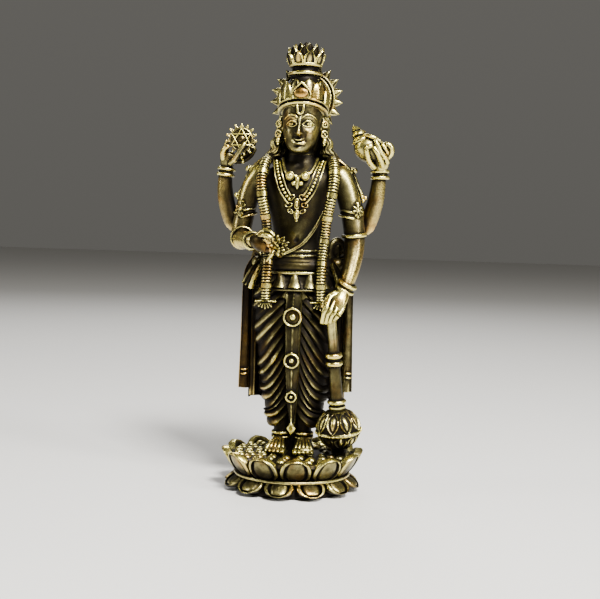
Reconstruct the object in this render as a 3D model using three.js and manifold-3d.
// A small four-armed figure that stands on a lotus plinth, cast in brass in one piece.
// Millimetres, +Z up. The figure faces -Y, and the origin is the centre of the flat underside.
import * as THREE from 'three';
import { mergeVertices } from 'three/addons/utils/BufferGeometryUtils.js';
import Module from 'manifold-3d';

const wasm = await Module();
wasm.setup();

// Driving dimensions, in millimetres
const FIGURE_HEIGHT = 77; // from where the feet stand to the tip of the crown
const PLINTH_HEIGHT = 7; // underside to where the feet stand
const FOOT_RADIUS = 10.9; // the plain disc under the lower petals
const WAIST_RADIUS = 9.8; // the groove between the two rows of petals
const WAIST_HEIGHT = 3;
const RIDGE_SIZE = 0.45; // half height of the rounded ridge in that groove
const POD_RADIUS = 11.4;
const POD_HEIGHT = 6.6; // underside to the pod's face between the seeds
const POD_LIP = 0.6; // how far the pod swells out below its edge
const POD_EDGE = 0.7; // how far below the pod's face that swelling lies
const SEED_RADIUS = 0.88;
const SEED_RISE = 0.7; // half height of a seed
const UPPER_TIP_RADIUS = 13.3;
const UPPER_TIP_HEIGHT = 7.8;
const UPPER_PETAL_WIDTH = 6.1;
const LOWER_TIP_RADIUS = 12.4;
const LOWER_TIP_HEIGHT = 0.5;
const LOWER_PETAL_WIDTH = 5.6;
const PETAL_THICKNESS = 0.9;
const PETAL_COUNT = 12;
const PLINTH_TURN = THREE.MathUtils.degToRad(10.5); // the petals sit a little round from the figure's front
const FACE_BUDGET = 9900; // flat faces on the whole casting

// The figure is laid out in shares of its own height: one unit is one per cent of it,
// x to the figure's left, y to its back and z up from where the feet stand.
const UNIT = FIGURE_HEIGHT / 100;
const TURN = 2 * Math.PI;
const UP = new THREE.Vector3(0, 0, 1);
const BACK = new THREE.Vector3(0, 1, 0);
const FRONT = new THREE.Vector3(0, -1, 0);
const UPRIGHT = [Math.PI / 2, 0, 0]; // tilt of a ring that faces the front

// Brass with a dark antique patina
const brass = new THREE.MeshStandardMaterial({ color: 0x9c7b3a, roughness: 0.38, metalness: 1 });

// Solid geometry, as a manifold-3d solid with its faces pointing out
function solid(geometry) {
  const bare = new THREE.BufferGeometry();
  bare.setAttribute('position', geometry.getAttribute('position'));
  bare.setIndex(geometry.index);
  const merged = mergeVertices(bare, 1e-4);
  const corners = [];
  for (let i = 0; i < merged.index.count; i += 3) {
    const face = [0, 1, 2].map((k) => merged.index.getX(i + k));
    if (new Set(face).size === 3) corners.push(face); // the others closed up at a pole
  }
  const build = (faces) => new wasm.Manifold(new wasm.Mesh({
    numProp: 3,
    vertProperties: merged.attributes.position.array,
    triVerts: new Uint32Array(faces.flat()),
  }));
  const made = build(corners);
  return made.volume() > 0 ? made : build(corners.map(([a, b, c]) => [a, c, b]));
}

function joined(geometries) {
  return wasm.Manifold.union(geometries.map(solid));
}

// The point a share t of the way from p1 to p2 on the smooth curve through four values
function curved(p0, p1, p2, p3, t) {
  const v0 = (p2 - p0) / 2;
  const v1 = (p3 - p1) / 2;
  return (2 * p1 - 2 * p2 + v0 + v1) * t ** 3 + (3 * p2 - 3 * p1 - 2 * v0 - v1) * t ** 2 + v0 * t + p1;
}

// Rows of numbers, with more rows eased in between each two
function eased(rows, steps) {
  const row = (i) => rows[Math.min(Math.max(i, 0), rows.length - 1)];
  const between = (i, t) => row(i).map((value, c) =>
    curved(row(i - 1)[c], value, row(i + 1)[c], row(i + 2)[c], t));
  const out = [];
  for (let i = 0; i + 1 < rows.length; i++) {
    for (let k = 0; k < steps; k++) out.push(between(i, k / steps));
  }
  return [...out, rows.at(-1)];
}

// The row of a table that is sorted by falling first value, read at one value by straight lines
function readAt(rows, value) {
  const reached = rows.findIndex((r) => r[0] <= value);
  const i = reached < 0 ? rows.length - 1 : Math.max(reached, 1);
  const [above, below] = [rows[i - 1], rows[i]];
  const t = THREE.MathUtils.clamp((above[0] - value) / (above[0] - below[0]), 0, 1);
  return above.map((v, c) => v + (below[c] - v) * t);
}

// A closed skin over rings of equally many points, with a fan over each end
function skin(rings) {
  const n = rings[0].length;
  const middle = (ring) => ring.reduce((sum, p) => sum.add(p), new THREE.Vector3()).divideScalar(n);
  const points = [...rings.flat(), middle(rings[0]), middle(rings.at(-1))];
  const [first, last] = [rings.length * n, rings.length * n + 1];
  const index = [];
  for (let i = 0; i < n; i++) {
    const j = (i + 1) % n;
    for (let r = 0; r + 1 < rings.length; r++) {
      const [low, high] = [r * n, (r + 1) * n];
      index.push(low + i, low + j, high + j, low + i, high + j, high + i);
    }
    const top = (rings.length - 1) * n;
    index.push(first, j, i, last, top + i, top + j);
  }
  return new THREE.BufferGeometry().setFromPoints(points).setIndex(index);
}

const CAP = 0.6; // share of its radius by which a limb runs on past its end, and narrows there

// A limb through stations [x, y, z, radius, flatness], rounded off at both ends
function limb(stations, sides = 8, steps = 2, across = new THREE.Vector3(1, 0, 0)) {
  const rows = eased(stations.map(([x, y, z, radius, flat = 1]) => [x, y, z, radius, flat]), steps);
  const places = rows.map(([x, y, z]) => new THREE.Vector3(x, y, z));
  const last = places.length - 1;
  const heading = (k) => places[Math.min(k + 1, last)].clone().sub(places[Math.max(k - 1, 0)]).normalize();
  const ring = (k, shift = 0, scale = 1) => {
    const along = heading(k);
    const side = across.clone().addScaledVector(along, -across.dot(along)).normalize();
    const up = along.clone().cross(side);
    const middle = places[k].clone().addScaledVector(along, shift * rows[k][3]);
    const radius = rows[k][3] * scale;
    return Array.from({ length: sides }, (_, i) => {
      const [x, y] = [radius * Math.cos(TURN * i / sides), radius * rows[k][4] * Math.sin(TURN * i / sides)];
      return middle.clone().addScaledVector(side, x).addScaledVector(up, y);
    });
  };
  return skin([ring(0, -CAP, CAP), ...rows.map((_, k) => ring(k)), ring(last, CAP, CAP)]);
}

// A column of oval rings at [z, half width, half depth, centre y, backward lean], about x = centre
function column(sections, sides = 20, swell = () => 1, centre = 0) {
  return skin(sections.map(([z, a, b, y = 0, lean = 0]) => Array.from({ length: sides }, (_, i) => {
    const angle = TURN * i / sides;
    const out = swell(angle, z);
    const depth = b * out * Math.sin(angle);
    return new THREE.Vector3(centre + a * out * Math.cos(angle), y + depth, z - lean * depth);
  })));
}

// A turned piece on a straight axis, from its [radius, distance along the axis] profile
function turned(profile, from, towards, sides = 12) {
  const onAxis = [[0, profile[0][1]], ...profile, [0, profile.at(-1)[1]]];
  const points = onAxis.map(([r, h]) => new THREE.Vector2(r, h));
  const axis = towards.clone().sub(from).normalize();
  const turn = new THREE.Quaternion().setFromUnitVectors(BACK, axis); // a lathe turns about the Y axis
  return new THREE.LatheGeometry(points, sides).applyQuaternion(turn).translate(...from.toArray());
}

function hoop(centre, radius, thickness, tilt = [0, 0, 0], stretch = 1, sides = [5, 16]) {
  return new THREE.TorusGeometry(radius, thickness, ...sides)
    .scale(1, stretch, 1)
    .applyMatrix4(new THREE.Matrix4().makeRotationFromEuler(new THREE.Euler(...tilt)))
    .translate(...centre);
}

function ball(centre, radii, sides = [8, 6]) {
  const [rx, ry, rz] = Array.isArray(radii) ? radii : [radii, radii, radii];
  return new THREE.SphereGeometry(1, ...sides).rotateX(Math.PI / 2).scale(rx, ry, rz).translate(...centre);
}

// A leaf's outline: share of its length, share of its width
const LEAF = [[0, 0.6], [0.4, 1], [0.75, 0.7], [1, 0.08]];

// A pointed leaf that grows from a place along one direction and faces another
function leaf(place, along, facing, length, width, thickness) {
  const up = along.clone().normalize();
  const side = up.clone().cross(facing).normalize();
  const out = side.clone().cross(up);
  return skin(LEAF.map(([t, w]) => [[-1, 0], [0, -1], [1, 0], [0, 1]].map(([s, o]) => place.clone()
    .addScaledVector(up, length * t)
    .addScaledVector(side, s * width / 2 * w)
    .addScaledVector(out, o * thickness / 2 * w))));
}

// Leaves in a ring about the Z axis, leaning out by a slope; the ring itself leans back
function leafRing({ count, radius, height, slope, size, phase = 0, centreY = 0, lean = 0 }) {
  return Array.from({ length: count }, (_, i) => {
    const angle = TURN * (i + phase) / count - Math.PI / 2;
    const out = new THREE.Vector3(Math.cos(angle), Math.sin(angle), 0);
    const place = new THREE.Vector3(out.x * radius, centreY + out.y * radius, height - lean * out.y * radius);
    return leaf(place, new THREE.Vector3(out.x * slope, out.y * slope, 1), out, ...size);
  });
}

// Plinth

// A petal along [radius, height, share of width] stations, with a raised border and a domed middle
function petal(stations, width) {
  const across = [-1, -0.8, -0.6, 0, 0.6, 0.8, 1];
  const border = 0.45 * PETAL_THICKNESS;
  const dome = 0.4 * PETAL_THICKNESS;
  return skin(stations.map(([radius, height, share], k) => {
    const before = stations[Math.max(k - 1, 0)];
    const after = stations[Math.min(k + 1, stations.length - 1)];
    const up = new THREE.Vector2(after[0] - before[0], after[1] - before[1]).normalize();
    const nearTip = k >= stations.length - 2;
    const point = (s, lift) => {
      const x = s * width / 2 * share;
      const out = radius - x * x / (2 * radius) + lift * Math.abs(up.y) + 0.15 * lift;
      return new THREE.Vector3(x, -out, height - lift * up.x * Math.sign(up.y));
    };
    const lift = (s) => (Math.abs(s) > 0.7 || nearTip ? border : dome * (1 - Math.abs(s)));
    const front = across.map((s) => point(s, Math.abs(s) === 1 ? 0.5 * border : lift(s)));
    const back = [0.6, -0.6].map((s) => point(s, -PETAL_THICKNESS));
    return [...front, ...back];
  }));
}

function petalRow(stations, width, phase) {
  return Array.from({ length: PETAL_COUNT }, (_, i) =>
    petal(stations, width).rotateZ(PLINTH_TURN + TURN * (i + phase) / PETAL_COUNT));
}

// Petal outlines: share of the way out, share of the way to the tip's height, share of the full width
const UPPER_PETAL = [[0.1, 0, 0.5], [0.36, 0.2, 0.93], [0.6, 0.46, 1], [0.78, 0.72, 0.86],
  [0.92, 0.92, 0.5], [1, 1, 0.06]];
const LOWER_PETAL = [[0.15, 0, 0.8], [0.5, 0.3, 1], [0.8, 0.6, 0.93], [0.94, 0.84, 0.62], [1, 1, 0.1]];
// Share of the pod's radius, number of seeds
const SEED_RINGS = [[0.9, 25], [0.73, 20], [0.56, 15], [0.39, 10], [0.22, 5]];
const STANCE = { width: 9.6, front: -4.6, back: 4 }; // the part of the pod that the feet cover

function seeds() {
  return SEED_RINGS.flatMap(([share, count]) => Array.from({ length: count }, (_, i) => {
    const angle = PLINTH_TURN + TURN * (i + 3 * share) / count;
    return [share * POD_RADIUS * Math.cos(angle), share * POD_RADIUS * Math.sin(angle), POD_HEIGHT];
  }))
    .filter(([x, y]) => Math.abs(x) > STANCE.width / 2 || y < STANCE.front || y > STANCE.back)
    .map((place) => ball(place, [SEED_RADIUS, SEED_RADIUS, SEED_RISE], [5, 3]));
}

function plinth() {
  const fullWidth = TURN * UPPER_TIP_RADIUS / PETAL_COUNT;
  const [upperBase, lowerBase] = [WAIST_HEIGHT + RIDGE_SIZE, WAIST_HEIGHT - RIDGE_SIZE];
  const outline = (shares, base, tipRadius, tipHeight) => shares.map(([out, along, width]) =>
    [WAIST_RADIUS + (tipRadius - WAIST_RADIUS) * out, base + (tipHeight - base) * along, width]);
  const core = [
    [FOOT_RADIUS, 0],
    [FOOT_RADIUS, 0.25 * WAIST_HEIGHT],
    [WAIST_RADIUS, lowerBase],
    [WAIST_RADIUS + RIDGE_SIZE, WAIST_HEIGHT],
    [WAIST_RADIUS, upperBase],
    [POD_RADIUS + POD_LIP, POD_HEIGHT - POD_EDGE],
    [POD_RADIUS, POD_HEIGHT],
  ];
  const upper = outline(UPPER_PETAL, upperBase, UPPER_TIP_RADIUS, UPPER_TIP_HEIGHT);
  const lower = outline(LOWER_PETAL, lowerBase, LOWER_TIP_RADIUS, LOWER_TIP_HEIGHT);
  return joined([
    turned(core, new THREE.Vector3(), UP, 48),
    ...petalRow(upper, Math.min(UPPER_PETAL_WIDTH, 0.95 * fullWidth), 0),
    ...petalRow(lower, LOWER_PETAL_WIDTH, 0.5),
    ...seeds(),
  ]);
}

// Legs and cloth, from here on in units of one per cent of the figure's height

const LEG = [ // z, centre x, half width, half depth, centre y
  [57, 3.4, 2, 2, 0.6],
  [49, 4, 3.4, 3.4, 0.6],
  [44, 4.6, 5.3, 5, 0.6],
  [36, 5, 5.9, 5.3, 0.5],
  [28, 4.8, 5.4, 5.1, 0.5],
  [18, 4.2, 4.7, 4.6, 0.8],
  [10, 3.7, 3.9, 3.9, 1.2],
  [5, 3.4, 3.5, 3.5, 1.6],
];
const FOLDS = { count: 13, top: 52, bottom: 9.2, ridge: 0.35, valley: -0.5 };
const SASH_EDGE = 0.27; // how far out on a leg the sash's edge lies: 0 at its inner side, 1 at its outer side
// Height where a fold leaves the sash, its fall across the leg, its bend, its rise outside
const FOLD_FALL = [
  [52, 9, 1.1, 0],
  [37.1, 10.6, 1.15, 0],
  [29.6, 13.5, 1.5, 0],
  [22.3, 14.5, 2.5, 0],
  [16.8, 13, 2.5, 0],
  [14.3, 9.4, 2.5, 0],
  [12.6, 7.5, 2.5, 0.3],
  [9.2, 6, 2.6, 0.75],
];

// One leg of the wrapped cloth. Its folds start high beside the middle sash and swing down and out.
function clothLeg(side) {
  const [rings, sides] = [2 * FOLDS.count + 1, 16];
  return skin(Array.from({ length: rings }, (_, k) => {
    const edge = FOLDS.top + (FOLDS.bottom - FOLDS.top) * k / (rings - 1);
    const [, drop, bend, rise] = readAt(FOLD_FALL, edge);
    const swell = k % 2 ? FOLDS.ridge : FOLDS.valley;
    return Array.from({ length: sides }, (_, i) => {
      const angle = TURN * i / sides;
      const outward = (1 + side * Math.cos(angle)) / 2;
      const fall = drop * ((1 - SASH_EDGE) ** bend - (1 - outward) ** bend);
      const z = edge - fall + rise * outward ** 3;
      const [, x, a, b, y] = readAt(LEG, z);
      const [across, forward] = [(a + swell) * Math.cos(angle), (b + swell) * Math.sin(angle)];
      return new THREE.Vector3(side * x + across, y + forward, z);
    });
  }).reverse());
}

const TORSO = [ // z, half width, half depth, centre y
  [38, 8.8, 5, 0.6], [44, 8.6, 5, 0.5], [47, 7.8, 4.8, 0.4], [50, 6.5, 4.4, 0.3], [53, 6.1, 4.2, 0.3],
  [58, 7, 4.4, 0.2], [62, 8, 4.8, 0.1], [65.5, 9, 5, 0.2], [68.2, 9, 4.4, 0.5], [70.2, 7, 3.6, 0.9],
  [71.6, 4, 3, 1], [73.5, 3.1, 2.8, 0.9], [77, 2.9, 2.8, 0.8],
];

const ANKLE = [ // z, half width, half depth, centre y, with the anklet's swelling
  [-1, 2.1, 2.3, 2.4], [3, 1.85, 2.1, 2.2], [3.3, 2.6, 2.7, 2.1], [4.6, 2.5, 2.8, 2], [4.9, 1.9, 2.2, 2],
  [10, 2.4, 2.6, 1.8],
];
const ANKLE_X = 3.2;
const TOES = { x: 3.95, pitch: 1.02, reach: -5.4, size: 0.72 };

function feet() {
  return [-1, 1].flatMap((side) => [
    column(ANKLE, 10, undefined, side * ANKLE_X),
    limb([[side * 3, 4.4, 0.6, 1.6, 0.9], [side * 3.2, 2, 1.6, 2.1, 0.95], [side * 3.4, 0, 1.5, 2.3, 0.8],
      [side * 3.7, -2.2, 1, 2.5, 0.6], [side * 3.9, -3.8, 0.6, 2.5, 0.38]], 8, 1),
    limb([[side * 3, 4.2, -0.4, 1.7, 0.4], [side * 3.9, -3.8, -0.4, 2.5, 0.25]], 8, 1), // the sole
    ...[-2, -1, 0, 1, 2].map((toe) => {
      const inner = toe * side + 2; // 0 at the big toe
      const size = TOES.size - 0.055 * inner;
      const place = [side * TOES.x + toe * TOES.pitch, TOES.reach + 0.24 * inner + 1, 0.45];
      return ball(place, [size, 1.5, size + 0.2], [6, 4]);
    }),
  ]);
}

// The pleated sash that hangs down the middle, with three ringed bosses and a pointed tip
const SASH = [ // z, half width, y of its front
  [40.6, 1.9, -5.6], [38, 1.9, -6.3], [34, 1.85, -6.5], [24, 1.65, -6.3], [14, 1.25, -5], [9, 0.75, -3.9],
  [7, 0.5, -3.7],
];
const BOSSES = [[33.8, 2.05], [23.2, 1.65], [14.2, 1.15]]; // z, radius
const SASH_TIP = { place: [0, -3.8, 6.1], radii: [0.95, 0.6, 1.45] };

function middleSash() {
  const strip = skin(SASH.map(([z, w, y]) => [
    [-w, y + 0.4], [-w * 0.4, y + 0.1], [0, y - 0.4], [w * 0.4, y + 0.1], [w, y + 0.4], [w, y + 3],
    [-w, y + 3],
  ].map(([px, py]) => new THREE.Vector3(px, py, z))).reverse());
  const bosses = BOSSES.flatMap(([z, radius]) => {
    const y = readAt(SASH, z)[2] - 0.4;
    const middle = new THREE.Vector3(0, y, z);
    return [
      hoop([0, y - 0.2, z], radius, 0.36, UPRIGHT, 1, [5, 14]),
      ball([0, y - 0.1, z], [0.4 * radius, 0.7, 0.4 * radius], [6, 5]),
      turned([[radius, -0.9], [radius, 0.1]], middle, middle.clone().add(FRONT), 10),
    ];
  });
  return [strip, ...bosses, ball(SASH_TIP.place, SASH_TIP.radii, [4, 2])];
}

const PLEATS = { count: 15, height: 0.13 }; // round the short skirt under the belt
const SKIRT = [ // z, half width, half depth, centre y
  [39.9, 9.9, 6.7, 0.5], [40.3, 10.3, 7.1, 0.5], [40.6, 9.7, 6.5, 0.5], [41, 9.5, 6.3, 0.5],
  [43, 8.8, 5.7, 0.5], [44.5, 8.4, 5.4, 0.5], [45.2, 8.2, 5.2, 0.5],
];
const ROLL = [ // the rolled cloth above the skirt
  [44.7, 8.5, 5.4, 0.4], [45.3, 9, 5.9, 0.4], [46.6, 8.95, 5.9, 0.4], [47.3, 8.6, 5.65, 0.4],
  [48.2, 7.6, 4.8, 0.4],
];
const BELT_CORDS = [[44.3, 8.95], [48.5, 7.3], [49.7, 6.95]]; // z, radius

// Two cords and a rolled cloth round the waist, with a short skirt under them. Its pleats widen downwards.
function belt() {
  const { clamp } = THREE.MathUtils;
  const pleat = (angle, z) => {
    const turn = (angle + Math.PI / 2) * PLEATS.count / TURN;
    const away = 2 * Math.abs(turn - Math.round(turn));
    const half = 0.42 + 0.46 * clamp((44.5 - z) / 4, 0, 1);
    const reach = clamp((z - 40.4) / 0.4, 0, 1) * clamp((45.4 - z) / 0.9, 0, 1);
    return 1 + PLEATS.height * (away < half ? 1 : 0) * reach;
  };
  return [
    column(SKIRT, 6 * PLEATS.count, pleat),
    column(ROLL, 24),
    ...BELT_CORDS.map(([z, radius]) => hoop([0, 0.4, z], radius, 0.4, [0, 0, 0], 0.665, [5, 24])),
  ];
}

const PANEL = [ // z, half width, y
  [13.4, 11.9, 5.6], [28, 12, 5.9], [40, 11.3, 6.3], [45.5, 9.2, 6], [47.6, 7, 4.8],
];
const PANEL_FOLDS = 3; // from the middle to each edge
const PANEL_THICKNESS = 1.9;
const STRIP = [[10.2, 1.8, 47.6, 1.3], [12, 1.7, 44.5, 1.2], [12.6, 1.6, 40, 1], [12.7, 1.6, 28, 1],
  [12.8, 1.6, 15.6, 1.15]];
const STRIP_BANDS = [19.8, 18.7]; // heights of the two bands near a strip's end

// The wide folded cloth behind the legs, with a filling towards each leg
function backCloth() {
  const across = Array.from({ length: 25 }, (_, i) => i / 12 - 1);
  const panel = skin(PANEL.map(([z, w, y]) => {
    const wrap = (share) => y - 1.8 * share ** 4;
    const fold = (share) => 0.5 * Math.cos(PANEL_FOLDS * TURN * share);
    const back = across.map((share) => new THREE.Vector3(w * share, wrap(share) + fold(share), z));
    const plain = (share) => new THREE.Vector3(w * share, wrap(share) - PANEL_THICKNESS, z);
    const front = across.toReversed().map(plain);
    return [...front, ...back];
  }));
  const filling = [[13.2, 1.2, 2, 4], [30, 1.3, 2.1, 3.8], [46, 1.2, 2, 3.4]];
  return [panel, ...[-1, 1].map((side) => column(filling, 8, undefined, side * 10.9))];
}

// The long strip at one hip, with its knot, two bow loops and a short end
function sideCloth(side) {
  return [
    limb(STRIP.map(([x, ...rest]) => [side * x, ...rest]), 6, 1),
    ...STRIP_BANDS.map((z) => hoop([side * 12.8, 1.6, z], 1.1, 0.28, [0, 0, 0], 1, [4, 8])),
    ball([side * 9.6, 0.4, 46.6], [2, 2, 1.7]),
    hoop([side * 9.4, 2.4, 49.8], 1.9, 0.8, [Math.PI / 2, 0, side * 0.5], 1.3, [6, 12]),
    ball([side * 9.4, 2.6, 49.8], [1.6, 0.9, 2.2], [6, 5]),
    hoop([side * 10.6, 2.6, 47.6], 1.3, 0.6, [Math.PI / 2, 0, side * 0.7], 1.3, [5, 10]),
    limb([[side * 8.8, -2.4, 46.8, 0.7, 0.6], [side * 10.4, -2.8, 44.2, 1.2, 0.5],
      [side * 12, -1.8, 41, 1.6, 0.4]], 6, 1),
  ];
}

// Garland of close discs that goes over each shoulder and down the front
const GARLAND = [ // x, y, z and radius of the strand on the figure's left
  [4.6, 4.6, 70.4, 1.2], [7, 2.6, 72, 1.35], [8.2, -1.4, 71.6, 1.4], [8.8, -4.2, 68, 1.4],
  [8.5, -5.6, 63.5, 1.35], [7.5, -5.3, 58, 1.33], [7, -4.9, 53, 1.3], [6.6, -5.7, 48, 1.27],
  [6.6, -6.9, 43, 1.25], [6.7, -7, 38, 1.2],
];
const GARLAND_PITCH = 1.6;
const DISC_GROOVE = 0.68; // a disc's radius at its edge, as a share of the full one

// Rows of a smooth path at an even distance
function pacedAlong(path, pitch) {
  const place = (row) => new THREE.Vector3(...row);
  const rows = [path[0]];
  for (const row of eased(path, 12)) {
    if (place(row).distanceTo(place(rows.at(-1))) >= pitch) rows.push(row);
  }
  return rows;
}

function garlandStrand(side) {
  const rows = pacedAlong(GARLAND, GARLAND_PITCH / 2);
  const stations = rows.map(([x, y, z, r], k) => [side * x, y, z, k % 2 ? r : DISC_GROOVE * r]);
  const [x, y, z] = rows.at(-1);
  const bar = limb([-2.4, 0, 2.4].map((dx) => [side * x + dx, y, z - 0.6, 0.35]), 5, 1, BACK);
  const tassel = [-2, -1, 0, 1, 2].map((k) => leaf(new THREE.Vector3(side * x + 0.5 * k, y - 0.2, z - 0.9),
    new THREE.Vector3(0.35 * k, -0.1, -1), FRONT, 2 - 0.2 * Math.abs(k), 1.2, 1.1));
  return [limb(stations, 7, 1), bar, ...tassel];
}

function necklaces() {
  const band = (side) => [
    limb([[side * 5.7, -1.7, 71.5, 1, 0.4], [side * 4.8, -4.1, 68.2, 1, 0.4], [side * 3.7, -4.9, 65, 1, 0.4],
      [side * 2.3, -5.1, 62.6, 0.9, 0.4], [side * 1.6, -5, 61.8, 0.7, 0.5]], 6, 2),
    limb([[side * 4.2, -0.6, 72.2, 0.5], [side * 3.6, -3, 69.8, 0.6], [side * 2.4, -4.6, 68.2, 0.6],
      [0, -5, 67.6, 0.5]], 6, 1),
    ball([side * 1.85, -5.2, 67.8], 0.95, [6, 5]),
    ball([side * 1.5, -5, 62.3], [0.9, 0.5, 0.7], [6, 4]),
    ball([side * 1.7, -5, 60.2], [0.9, 0.5, 0.9], [6, 4]),
  ];
  return [
    ...[-1, 1].flatMap(band),
    ball([0, -5.3, 66.6], [0.95, 0.8, 0.95], [6, 5]),
    leaf(new THREE.Vector3(0, -5.3, 66.2), new THREE.Vector3(0, 0, -1), FRONT, 1.9, 1.6, 1.2),
    ball([0, -5.2, 61.1], [0.5, 0.5, 1], [6, 4]),
    ball([0, -5.2, 58.3], [0.6, 0.5, 1.2], [6, 4]),
    limb([[6.4, -4.6, 59.4, 0.35], [3.6, -4.8, 54.2, 0.35], [0, -4.8, 50.6, 0.35],
      [-4.6, -5, 48.6, 0.35]], 5, 2),
  ];
}

// The straps over the shoulders, the cords that hang from them and their ball ends
function shoulderCords() {
  return [-1, 1].flatMap((side) => [
    limb([[side * 5.6, 1.6, 73, 0.9], [side * 8.4, 1, 72.5, 1], [side * 10.8, 0.8, 70.8, 1],
      [side * 12.6, 1.2, 69, 0.8]], 6, 1),
    limb([[side * 9.6, 2.2, 71.5, 0.5], [side * 11.7, 1.7, 70.2, 0.5], [side * 13, 1.6, 68.6, 0.5],
      [side * 14, 1.6, 66, 0.5], [side * 15.2, 1.6, 63.6, 0.5]], 6, 1),
    ball([side * 13.2, 1.5, 69.7], 0.75, [6, 5]),
    ball([side * 15.4, 1.4, 63.2], [0.9, 0.6, 0.8], [6, 5]),
  ]);
}

// Arms. The front pair holds a lotus bud and the mace, the back pair the wheel and the conch.
function bangles(place, radius, tilt, gap = 1.4) {
  const step = new THREE.Vector3(0, 0, gap / 2).applyEuler(new THREE.Euler(...tilt));
  const middle = new THREE.Vector3(...place);
  const at = (k) => middle.clone().addScaledVector(step, k).toArray();
  return [-1, 1].map((k) => hoop(at(k), radius, 0.44, tilt, 1, [5, 12]));
}

function fingers(paths, radius) {
  return paths.map((path) => limb(path.map((p) => [...p, radius]), 5, 1, new THREE.Vector3(0.6, 0.2, 0.77)));
}

// A band of one broad ring with a flower boss on its front
function armlet(place, radius, tilt, boss) {
  return [hoop(place, radius, 0.5, tilt, 1, [5, 12]), ball(boss, [1.6, 0.8, 2], [8, 5])];
}

function frontRightArm() {
  return [
    limb([[-9.6, 0.4, 68, 3.1], [-11.8, 0.3, 65, 2.7], [-13.2, -0.2, 60, 2.5], [-14.2, -1, 53.8, 2.45],
      [-14.1, -2, 52.2, 2.45], [-12.6, -4.8, 52, 2.25], [-9.6, -8, 51.9, 1.8]],
    8, 2, new THREE.Vector3(0, 0.3, 1)),
    ...armlet([-13.2, -0.2, 59.8], 2.6, [0.1, -0.25, 0], [-13.8, -2.4, 60.8]),
    hoop([-13.4, -3.5, 52.6], 2.6, 0.4, [1.35, 0.55, 0], 1, [5, 12]),
    ...bangles([-10.3, -7.5, 51.9], 1.9, [1.45, 0.72, 0]),
    limb([[-9.2, -8.6, 51.9, 1.75, 1], [-7.8, -9.6, 51.6, 2.15, 0.95],
      [-6.3, -10.4, 51.1, 2.1, 0.8]], 8, 1, UP),
    ...fingers([0, 1, 2, 3].map((k) => 52.9 - 1.05 * k).map((z) => [
      [-7, -11.3, z], [-5.4, -12.3, z + 0.1], [-4.3, -12.2, z - 0.2], [-3.9, -11.1, z - 0.4]]), 0.62),
    ...fingers([[[-8, -10, 53], [-6.6, -10.4, 54], [-5, -11, 53.9], [-3.9, -11.3, 53.3]]], 0.68),
    ...lotusBud(),
  ];
}

function lotusBud() {
  const stem = new THREE.Vector3(-4.7, -10.8, 51.3);
  const petals = [[7, 0, 0.75, 2.9], [5, 0.5, 0.32, 3.4]].flatMap(([count, phase, spread, length]) =>
    Array.from({ length: count }, (_, k) => {
      const angle = TURN * (k + phase) / count;
      const out = new THREE.Vector3(0, Math.cos(angle), Math.sin(angle));
      return leaf(stem, new THREE.Vector3(1, 0, 0.05).addScaledVector(out, spread), out, length, 1.8, 0.9);
    }));
  return [...petals, limb([[-5.6, -11, 49.8, 0.5], [-6, -10.8, 48.6, 0.45],
    [-6.6, -9.8, 47.4, 0.35]], 5, 1)];
}

function frontLeftArm() {
  return [
    limb([[9.6, 0.4, 68, 3.2], [11.2, 0.3, 65, 2.9], [12.7, 0, 60.2, 2.7], [13.7, -0.5, 55, 2.6],
      [13.9, -1.4, 50, 2.4], [13.2, -3.4, 45, 2.05], [12.2, -5.2, 41.4, 1.75]], 8, 2),
    ...armlet([12.7, 0, 59.6], 2.8, [0.05, 0.2, 0], [13.5, -2.4, 60.8]),
    hoop([13.7, -0.6, 54.6], 2.68, 0.45, [0.1, -0.1, 0], 1, [5, 12]),
    ...bangles([12.5, -5.3, 41.4], 1.95, [0.5, 0.5, 0], 1.5),
    limb([[11.8, -5.9, 40, 1.75, 1], [11.4, -6.7, 39.2, 1.95, 0.75], [10.9, -7.3, 38.4, 2.15, 0.55],
      [10.4, -7.8, 37.5, 2.2, 0.42]], 8, 1),
    ...fingers([0, 1, 2, 3].map((k) => [
      [11 + 0.42 * k, -7.2 - 0.12 * k, 39.8 - 0.4 * k],
      [8.9 + 0.98 * k, -8.3 - 0.1 * k, 38.5 - 0.78 * k],
      [8.1 + 1.02 * k, -9.7 + 0.05 * k, 36.1 - 0.42 * k],
      [7.35 + 1.06 * k, -9.3 + 0.15 * k, 33 + 0.12 * k * k - 0.2 * k],
    ]), 0.68),
    ...fingers([[[10.2, -6.6, 40], [8.9, -7.1, 39.2], [7.9, -7.4, 38], [7.3, -7.5, 36.8]]], 0.78),
  ];
}

const MACE_TOP = new THREE.Vector3(9, -7.2, 38);
const MACE_FOOT = new THREE.Vector3(12.1, -1.5, -0.8);
const MACE = [ // radius, distance down from the top
  [1.1, 0], [1.2, 8], [1.3, 12.6], [2.05, 13], [2.05, 13.8], [1.4, 14.3], [2.05, 15], [2.05, 15.7],
  [1.4, 16.1], [1.6, 24.3], [2.35, 24.8], [2.35, 25.3], [1.7, 25.8], [2.15, 26.4], [1.9, 27], [3.9, 28.5],
  [4.6, 29.6], [5, 30.8], [5.1, 31.7], [5.5, 32.1], [5.5, 32.6], [4.9, 33], [4.1, 35.2], [3.3, 36.6],
  [2.5, 37.7], [2.2, 38.9],
];
const MACE_PETALS = { count: 9, from: 27.4, radius: 2.2, length: 4.9, width: 2.8, thickness: 2.2 };

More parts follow.
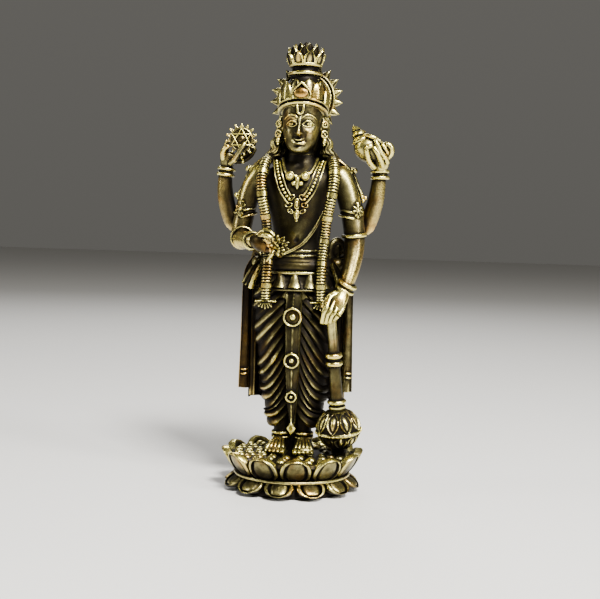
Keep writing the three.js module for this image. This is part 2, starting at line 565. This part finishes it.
function mace() {
  const { count, from, radius, length, width, thickness } = MACE_PETALS;
  const petals = Array.from({ length: count }, (_, i) => {
    const out = new THREE.Vector3(1, 0, 0).applyAxisAngle(UP, TURN * i / count);
    const start = out.clone().multiplyScalar(radius).setZ(MACE_TOP.distanceTo(MACE_FOOT) - from);
    return leaf(start, out.clone().setZ(-1.4), out, length, width, thickness);
  });
  const lean = new THREE.Quaternion().setFromUnitVectors(UP, MACE_TOP.clone().sub(MACE_FOOT).normalize());
  petals.forEach((petalLeaf) => petalLeaf.applyQuaternion(lean).translate(...MACE_FOOT.toArray()));
  return [turned(MACE, MACE_TOP, MACE_FOOT, 18), ...petals];
}

const WHEEL = { hub: new THREE.Vector3(-14.9, 0.2, 76.7), radius: 2.6, spikes: 14, spike: [1.2, 1, 0.8] };

// The wheel: a ring over a thin disc, a six-pointed star, a hub and a spike all round
function wheel() {
  const { hub, radius, spikes, spike } = WHEEL;
  const round = (share, reach, forward = 0) => {
    const angle = TURN * share;
    return hub.clone().add(new THREE.Vector3(reach * Math.sin(angle), forward, reach * Math.cos(angle)));
  };
  const bars = [0, 1, 2, 3, 4, 5].map((k) => limb([k, k + 2]
    .map((corner) => [...round(corner / 6, radius, -0.35).toArray(), 0.26]), 4, 1, BACK));
  return [
    hoop(hub.toArray(), radius, 0.42, UPRIGHT, 1, [5, 18]),
    turned([[radius, -0.25], [radius, 0.25]], hub, hub.clone().add(BACK), 18),
    ball(hub.toArray(), 0.9, [6, 5]),
    ...bars,
    ...Array.from({ length: spikes }, (_, k) => {
      const place = round(k / spikes, radius);
      return leaf(place, place.clone().sub(hub), FRONT, ...spike);
    }),
  ];
}

function backRightArm() {
  return [
    limb([[-9.4, 2.6, 67.6, 2.4], [-12.8, 3.4, 62, 2.3], [-16, 3.4, 56.4, 2.2], [-17.7, 3.2, 57.8, 2.1],
      [-19, 3, 62.6, 2], [-19.2, 2.7, 67, 1.75], [-18.8, 2.4, 69.8, 1.6]], 8, 2, BACK),
    ...bangles([-18.95, 2.5, 68.8], 1.85, [0, 0.15, 0]),
    limb([[-18.8, 2.2, 70.2, 1.6, 0.9], [-18.5, 1.9, 71.4, 1.9, 0.75], [-18.2, 1.6, 72.8, 2, 0.6]], 8, 1),
    ...fingers([
      [[-17.4, 0.6, 70.8], [-16.2, -0.6, 71.6], [-15.2, -1.1, 73.2], [-13.9, -1, 75.3]],
      [[-19.4, 1.2, 72], [-19.6, 0.6, 73.3], [-19, 0.1, 74.3], [-18, -0.2, 74.9]],
      [[-17.2, 1.6, 72.2], [-15, 1.9, 72.6], [-13.2, 1.9, 74], [-12, 1.7, 75.8]],
      [[-18.6, 1.8, 73], [-19, 1.7, 74.6], [-18.6, 1.5, 76], [-17.6, 1.3, 76.6]],
      [[-17.2, 2.3, 71.4], [-14.8, 2.6, 71.6], [-12.9, 2.5, 72.8], [-11.9, 2.2, 74.4]],
    ], 0.75),
    ...wheel(),
  ];
}

const CONCH = [ // x, y, z, radius from its point to its mouth
  [12.6, 0.3, 80.4, 0.3], [13.4, 0.3, 79.5, 1.2], [13.6, 0.25, 79.25, 1.05], [14.2, 0.2, 78.5, 1.75],
  [14.4, 0.15, 78.25, 1.5], [15.1, 0.1, 77.4, 2.35], [15.3, 0.1, 77.15, 2.1], [15.9, 0, 76.5, 2.85],
  [17.2, 0, 75.7, 2.95], [19.2, 0, 75, 2.25], [21.4, 0, 74.7, 1.2],
];

function backLeftArm() {
  return [
    limb([[9.4, 2.6, 67.6, 2.4], [12.4, 3.4, 62, 2.3], [15.6, 3.4, 56.4, 2.2], [17, 3.2, 57.6, 2.1],
      [18.5, 3, 62.4, 2], [19.1, 2.7, 67, 1.75], [19.2, 2.4, 69.8, 1.65]], 8, 2, BACK),
    ...bangles([19.4, 2.5, 68.9], 1.9, [0, -0.05, 0], 1.5),
    limb([[19.3, 2, 70.4, 1.7, 0.9], [19.4, 1.4, 71.8, 2, 0.8], [19.2, 0.8, 73.2, 2.1, 0.7]], 8, 1),
    limb(CONCH, 10, 1, BACK),
    limb([[20, -1.1, 76.8, 0.75], [21.3, -1.1, 76.5, 0.8], [22.1, -0.9, 75.4, 0.8],
      [21.9, -0.8, 74, 0.75]], 6, 1),
    ...fingers([
      [[17.9, -0.9, 70.9], [16.5, -2.4, 72.2], [15.8, -2.9, 73.8], [16.7, -3, 75.3]],
      [[19.3, -0.8, 71.3], [18.6, -2.5, 73.4], [17.8, -3.1, 75.6], [16.9, -2.9, 77.7]],
      [[20.3, -0.6, 72], [19.8, -2.1, 73.9], [19.2, -2.7, 75.7], [18.4, -2.5, 77.4]],
      [[21, -0.3, 72.8], [21, -1.5, 74.2], [20.7, -2.1, 75.2], [20.1, -2.2, 76.2]],
      [[17.8, 1.8, 72.4], [16.4, 2.9, 73.6], [15.4, 3.2, 75.2], [15.2, 2.9, 76.8]],
    ], 0.78),
  ];
}

// Head. The face is a calm one of plain proportions, with the eyes half way down the head.
const HEAD = [ // z, half width, half depth, centre y
  [72.9, 0.5, 0.6, -3.3], [73.8, 2.2, 2.3, -2.6], [75.2, 3.4, 3.6, -1.6], [77.5, 4.25, 4.5, -0.8],
  [80, 4.65, 4.9, -0.5], [82.5, 4.9, 5.1, -0.35], [85, 5, 5.25, -0.2], [87, 4.6, 4.9, 0],
];

function face() {
  const pairs = [-1, 1].flatMap((side) => [
    ball([side * 1.9, -4.6, 80.4], [1.15, 0.8, 0.7], [8, 5]),
    limb([[side * 0.7, -5.4, 81.7, 0.3], [side * 2, -5.2, 82.3, 0.34], [side * 3.4, -4.1, 81.8, 0.25]], 5, 1),
    ball([side * 5, 0, 79.9], [0.8, 1.2, 1.7], [6, 6]),
    ball([side * 5.75, -0.9, 80.6], [0.9, 0.5, 0.95], [6, 5]),
    ball([side * 5.75, -0.9, 78.2], [1, 0.5, 1.1], [6, 5]),
    ball([side * 5.7, -0.9, 76.3], [0.6, 0.6, 1], [6, 4]),
  ]);
  return [
    column(HEAD, 20),
    limb([[0, -5.6, 81.6, 0.45], [0, -6.1, 79.8, 0.5], [0, -6.4, 78.3, 0.8]], 6, 1),
    ball([0, -5.2, 76.4], [1.35, 0.65, 0.35], [8, 4]),
    ball([0, -5.1, 75.7], [1.1, 0.65, 0.4], [8, 4]),
    ball([0, -4.4, 74.4], [1, 0.7, 0.7], [6, 4]),
    ...pairs,
  ];
}

function hair() {
  // y, reach on the shoulder, drop of each lock beside the face
  const locks = [[0.7, 7.6, 0], [1.5, 8.6, 0.4], [2.5, 7, 0.2], [3.3, 5.8, 0.5]];
  return [
    ball([0, 3, 78], [5.1, 3, 6], [12, 8]),
    ...[-1, 1].flatMap((side) => locks.map(([y, reach, drop]) => limb([
      [side * 5, y + 0.3, 82.5, 0.8], [side * 5.3, y - 0.1, 78.4, 1],
      [side * (5.9 + 0.1 * reach), y - 0.3, 76, 1], [side * 0.82 * reach, y - 0.6, 74.4 - 0.4 * drop, 1],
      [side * reach, y - 0.5, 73.3 - drop, 0.9],
      [side * (reach + 1), y - 0.3, 72.2 - drop, 0.55],
    ], 6, 1))),
    ...[-3, -1, 1, 3].map((k) => [k, 0.1 * k * k]).map(([k, inset]) => limb([
      [1.1 * k, 5 - inset, 82, 1.1], [1.2 * k, 5.2 - inset, 75, 1.2], [1.1 * k, 4.5 - inset, 68, 1],
    ], 6, 1)),
  ];
}

// Tall crown with a rayed disc behind it and an opening bud on top
const BAND_LEAN = 0.33; // how far the brow band leans back
const CROWN = [ // z, half width, half depth, centre y, lean
  [82.5, 5, 5.2, -0.2, BAND_LEAN], [82.95, 5.7, 5.7, 0, BAND_LEAN], [83.3, 6.25, 6.25, 0, BAND_LEAN],
  [83.65, 5.7, 5.7, 0, BAND_LEAN], [83.98, 5.7, 5.7, 0, BAND_LEAN], [84.35, 6.3, 6.3, 0, BAND_LEAN],
  [84.7, 5.4, 5.4, 0, 0.3], [86.6, 5.3, 5.2, 0.1, 0.22], [88.6, 5.2, 5.1, 0.15, 0.1],
  [90, 4.8, 4.7, 0.2, 0.04], [91.7, 3.7, 3.7, 0.2], [92.1, 3.8, 3.8, 0.2], [92.5, 4.6, 4.6, 0.2],
  [93, 4.5, 4.5, 0.2], [93.3, 3.4, 3.4, 0.2], [94.2, 3.4, 3.4, 0.2], [94.5, 4.1, 4.1, 0.2],
  [95.1, 4.1, 4.1, 0.2], [95.5, 3.1, 3.1, 0.2], [97, 3.1, 3.1, 0.2], [98.6, 1.2, 1.2, 0.2],
];
const CROWN_LEAVES = [ // two rows round the dome and three tiers of the bud
  { count: 9, radius: 5.45, height: 84.9, slope: 0.02, size: [4, 3.5, 2.4], centreY: 0.05, lean: 0.3 },
  {
    count: 9, radius: 5.15, height: 87, slope: -0.16, size: [3.5, 3.4, 2],
    phase: 0.5, centreY: 0.15, lean: 0.12,
  },
  { count: 9, radius: 3.3, height: 95.2, slope: 0.42, size: [2.9, 3, 1], phase: 0.5, centreY: 0.2 },
  { count: 9, radius: 3, height: 95.5, slope: 0.28, size: [3.7, 2.8, 1], centreY: 0.2 },
  { count: 7, radius: 1.9, height: 96, slope: 0.15, size: [4, 2.5, 1], phase: 0.5, centreY: 0.2 },
];
const HALO = { rays: 19, disc: 7, tip: 9.05, depth: 1, centre: [0.25, 3.7, 87.2] };

function crown() {
  return [
    column(CROWN, 20),
    ...CROWN_LEAVES.flatMap(leafRing),
    leaf(new THREE.Vector3(0.1, -6, 86.2), UP, FRONT, 3.6, 4.6, 2.2), // the jewel's frame
    ball([0.1, -6.4, 87.55], [1.7, 1.1, 1.15], [8, 5]),
    leaf(new THREE.Vector3(0, -0.5, 96.4), UP, FRONT, 4, 2.8, 1.8),
  ];
}

function halo() {
  const { rays, disc, tip, depth, centre } = HALO;
  const outline = new THREE.Shape(Array.from({ length: 2 * rays }, (_, i) => {
    const radius = i % 2 ? disc + 0.1 : tip;
    const angle = TURN * i / (2 * rays);
    return new THREE.Vector2(radius * Math.sin(angle), radius * Math.cos(angle));
  }));
  const rayed = new THREE.ExtrudeGeometry(outline, { depth, bevelEnabled: false, steps: 1 })
    .rotateX(Math.PI / 2).translate(centre[0], centre[1] + depth, centre[2]);
  const rayedSolid = new THREE.BufferGeometry().setAttribute('position', rayed.getAttribute('position'));
  rayedSolid.setIndex([...Array(rayed.getAttribute('position').count).keys()]);
  const at = (forward) => [centre[0], centre[1] + depth - forward, centre[2]];
  return [
    rayedSolid,
    hoop(at(depth), disc - 0.25, 0.45, UPRIGHT, 1, [5, 28]),
    hoop(at(0), disc - 0.4, 0.3, UPRIGHT, 1, [4, 28]),
    ball(at(0), [1.3, 0.7, 1.3]),
  ];
}

const HEAD_LEAN = 0.025; // sideways for each unit of height above the chin
const CHIN_HEIGHT = 74;

// The head, hair and crown, leaning a little to the figure's left
function leaning(geometries) {
  geometries.forEach((geometry) => {
    const at = geometry.getAttribute('position');
    for (let i = 0; i < at.count; i++) {
      at.setX(i, at.getX(i) + HEAD_LEAN * Math.max(0, at.getZ(i) - CHIN_HEIGHT));
    }
  });
  return geometries;
}

function figure() {
  return joined([
    clothLeg(-1), clothLeg(1), column(TORSO),
    ...feet(), ...middleSash(), ...belt(), ...backCloth(), ...sideCloth(-1), ...sideCloth(1),
    ...garlandStrand(-1), ...garlandStrand(1), ...necklaces(), ...shoulderCords(),
    ...frontRightArm(), ...frontLeftArm(), ...mace(), ...backRightArm(), ...backLeftArm(),
    ...leaning([...face(), ...hair(), ...crown(), ...halo()]),
  ].map((geometry) => geometry.scale(UNIT, UNIT, UNIT).translate(0, 0, PLINTH_HEIGHT)));
}

// The largest closed shell of a solid, without the pockets sealed inside it
function outerShell(manifold) {
  const shell = manifold.decompose().reduce((a, b) => (a.volume() > b.volume() ? a : b)).getMesh();
  const geometry = new THREE.BufferGeometry();
  geometry.setAttribute('position', new THREE.BufferAttribute(shell.vertProperties.slice(), 3));
  geometry.setIndex(new THREE.BufferAttribute(shell.triVerts.slice(), 1));
  return geometry;
}

// Ten numbers that hold, for any point, the sum of its squared distances to planes, weighted by their size
function planeSum(a, b, c) {
  const normal = b.clone().sub(a).cross(c.clone().sub(a));
  const weight = Math.sqrt(normal.length());
  const { x, y, z } = normal.normalize();
  const d = -normal.dot(a);
  return [x * x, x * y, x * z, x * d, y * y, y * z, y * d, z * z, z * d, d * d].map((v) => v * weight);
}

function added(p, q) {
  return p.map((v, i) => v + q[i]);
}

function awayFrom([xx, xy, xz, x1, yy, yz, y1, zz, z1, one], { x, y, z }) {
  const squares = xx * x * x + yy * y * y + zz * z * z;
  const products = xy * x * y + xz * x * z + yz * y * z;
  return squares + 2 * (products + x1 * x + y1 * y + z1 * z) + one;
}

// How far closing one edge up would move the surface, at the best place for it: where the planes
// beside the edge meet, either of its ends or its middle
function closing(u, v, points, sums) {
  const sum = added(sums[u], sums[v]);
  const [xx, xy, xz, x1, yy, yz, y1, zz, z1] = sum;
  const middle = points[u].clone().lerp(points[v], 0.5);
  const length = points[u].distanceTo(points[v]);
  const places = [points[u], points[v], middle];
  const slopes = new THREE.Matrix3().set(xx, xy, xz, xy, yy, yz, xz, yz, zz);
  if (slopes.determinant() > 1e-4 * (xx + yy + zz) ** 3) {
    const meeting = new THREE.Vector3(-x1, -y1, -z1).applyMatrix3(slopes.invert());
    if (meeting.distanceTo(middle) < length) places.push(meeting);
  }
  const costs = places.map((place) => awayFrom(sum, place));
  const best = costs.indexOf(Math.min(...costs));
  return { u, v, sum, place: places[best], cost: costs[best] + 1e-6 * length ** 2 };
}

// True where closing the edge would neither pinch the surface nor fold a face over
function closesCleanly({ u, v, place }, near, points) {
  const beside = (w) => new Set(near.filter((face) => face.includes(w)).flat());
  const shared = [...beside(u)].filter((w) => beside(v).has(w));
  if (shared.length !== 4) return false; // the edge's two ends and the two corners across it
  const normal = ([a, b, c]) => b.clone().sub(a).cross(c.clone().sub(a));
  return near.every((face) => {
    if (face.includes(u) && face.includes(v)) return true;
    const now = normal(face.map((i) => points[i]));
    const moved = normal(face.map((i) => (i === u || i === v ? place : points[i])));
    return moved.length() > 1e-5 && moved.normalize().dot(now.normalize()) > 0.4;
  });
}

// Closes up edges of a closed mesh, those that move its surface least first, down to a number of faces
function thinned(geometry, budget) {
  const at = geometry.getAttribute('position');
  const corners = geometry.index;
  const points = Array.from({ length: at.count }, (_, i) => new THREE.Vector3().fromBufferAttribute(at, i));
  const cornersOf = (i) => [0, 1, 2].map((k) => corners.getX(3 * i + k));
  let faces = Array.from({ length: corners.count / 3 }, (_, i) => cornersOf(i));
  const sums = points.map(() => Array(10).fill(0));
  for (const face of faces) {
    const sum = planeSum(...face.map((i) => points[i]));
    for (const v of face) sums[v] = added(sums[v], sum);
  }
  for (let before = Infinity; faces.length > budget && faces.length < before;) {
    before = faces.length;
    const around = points.map(() => []);
    faces.forEach((face) => face.forEach((v) => around[v].push(face)));
    const choices = faces.flatMap((face) => face.map((u, k) => [u, face[(k + 1) % 3]]))
      .filter(([u, v]) => u < v)
      .map(([u, v]) => closing(u, v, points, sums))
      .sort((a, b) => a.cost - b.cost);
    const touched = new Set();
    const closed = new Set();
    for (const choice of choices.slice(0, Math.ceil(choices.length / 12))) {
      const { u, v, sum, place } = choice;
      if (faces.length - closed.size <= budget) break;
      if (touched.has(u) || touched.has(v)) continue;
      const near = [...new Set([...around[u], ...around[v]])];
      if (!closesCleanly(choice, near, points)) continue;
      for (const face of near) {
        face.forEach((w) => touched.add(w));
        if (face.includes(u) && face.includes(v)) closed.add(face);
        else if (face.includes(u)) face[face.indexOf(u)] = v;
      }
      points[v] = place.clone();
      sums[v] = sum;
    }
    faces = faces.filter((face) => !closed.has(face));
  }
  return new THREE.BufferGeometry().setFromPoints(points).setIndex(faces.flat());
}

function casting() {
  const whole = thinned(outerShell(plinth().add(figure())), FACE_BUDGET);
  const mesh = new THREE.Mesh(outerShell(solid(whole)), brass);
  mesh.name = 'vishnu_casting';
  return mesh;
}

const part = new THREE.Group();
part.add(casting());

export default part;
